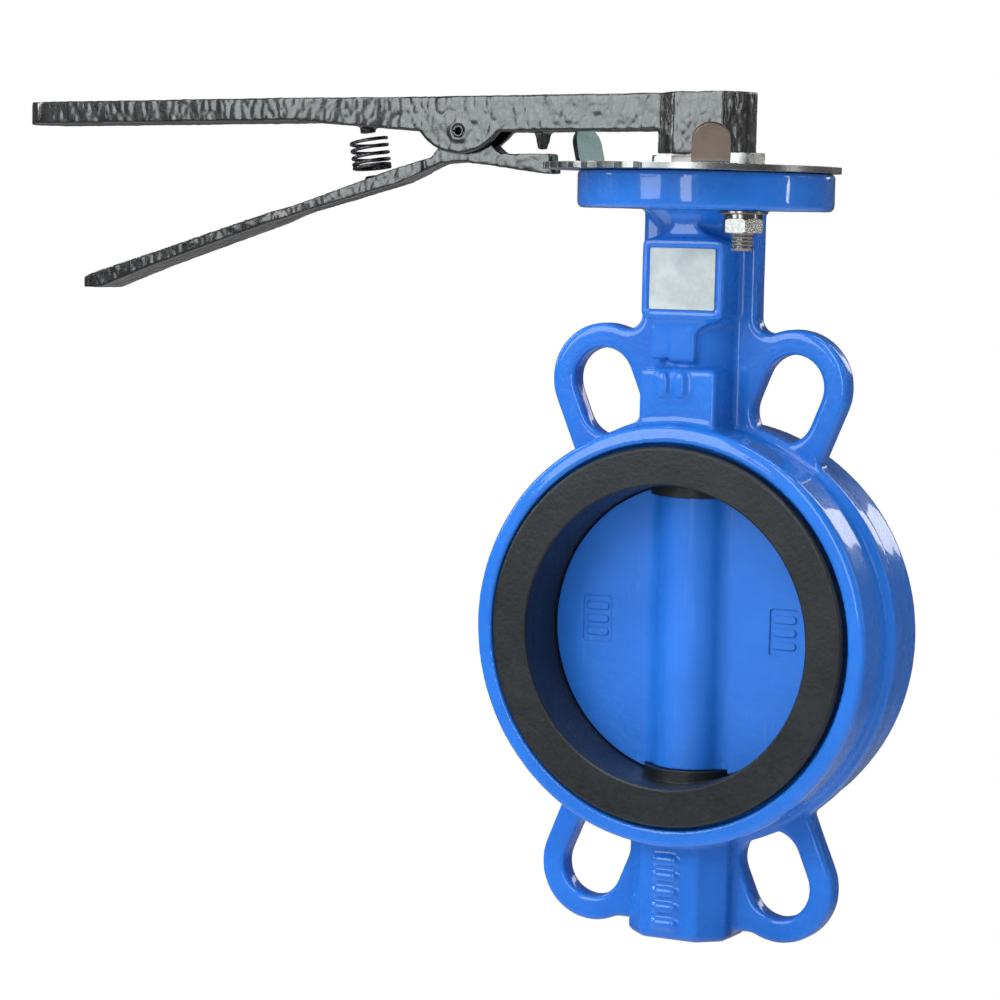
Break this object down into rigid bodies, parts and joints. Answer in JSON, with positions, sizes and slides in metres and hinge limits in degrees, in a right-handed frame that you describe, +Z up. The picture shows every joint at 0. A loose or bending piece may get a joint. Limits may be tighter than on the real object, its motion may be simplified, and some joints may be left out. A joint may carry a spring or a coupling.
{
  "type": "butterfly valve",
  "caption": "Wafer butterfly valve with a rubber-lined bore, a turning disc, slotted flange lugs and a spring-latched lever handle over a notched plate.",
  "frame": {"origin": "centre of the bore, where the stem's axis crosses the pipe's axis", "axes": "+Z up the stem, +Y through the pipe from the front face to the rear face, and the handle of the closed valve points to -X"},
  "size_m": [0.359, 0.1043, 0.2971],
  "materials": {
    "body_paint": "glossy blue epoxy on a casting",
    "liner_rubber": "satin black rubber",
    "disc_paint": "satin blue coating",
    "stainless": "turned stainless steel",
    "bush_plastic": "off-white bearing plastic",
    "seal_rubber": "black o-ring rubber",
    "zinc_plate": "pale zinc plating",
    "fastener_steel": "bright stainless steel",
    "label_metal": "blank silver label",
    "handle_paint": "glossy black paint on a rough casting",
    "spring_steel": "dark oiled spring steel"
  },
  "bodies": {
    "valve": {"valve_body": "body_paint", "seat_liner": "liner_rubber", "middle_bush": "bush_plastic", "upper_bush": "bush_plastic", "lower_bush": "bush_plastic", "upper_o_ring": "seal_rubber", "lower_o_ring": "seal_rubber", "thrust_washer": "stainless", "spacer_ring": "bush_plastic", "notch_plate": "zinc_plate", "plate_bolts": "fastener_steel", "plate_flat_washers": "fastener_steel", "plate_spring_washers": "fastener_steel", "plate_nuts": "fastener_steel", "name_plate": "label_metal"},
    "disc_and_lever": {"disc": "disc_paint", "upper_stem": "stainless", "lower_stem": "stainless", "stem_circlip": "spring_steel", "lever_handle": "handle_paint", "handle_set_screw": "spring_steel", "trigger_pin": "spring_steel", "trigger_spring": "spring_steel"},
    "trigger": {"trigger_lever": "handle_paint"}
  },
  "joints": [
    {"name": "handle_turn", "type": "hinge", "parent": "valve", "child": "disc_and_lever", "pos_m": [0, 0, 0], "axis": [0, 0, 1], "range_deg": [0, 90]},
    {"name": "trigger_squeeze", "type": "hinge", "parent": "disc_and_lever", "child": "trigger", "pos_m": [-0.0947, 0, 0.1744], "axis": [0, 1, 0], "range_deg": [0, 12], "stiffness_Nm_per_rad": 3.2, "springref_deg": -9.17, "deforming": ["trigger_spring"]}
  ]
}
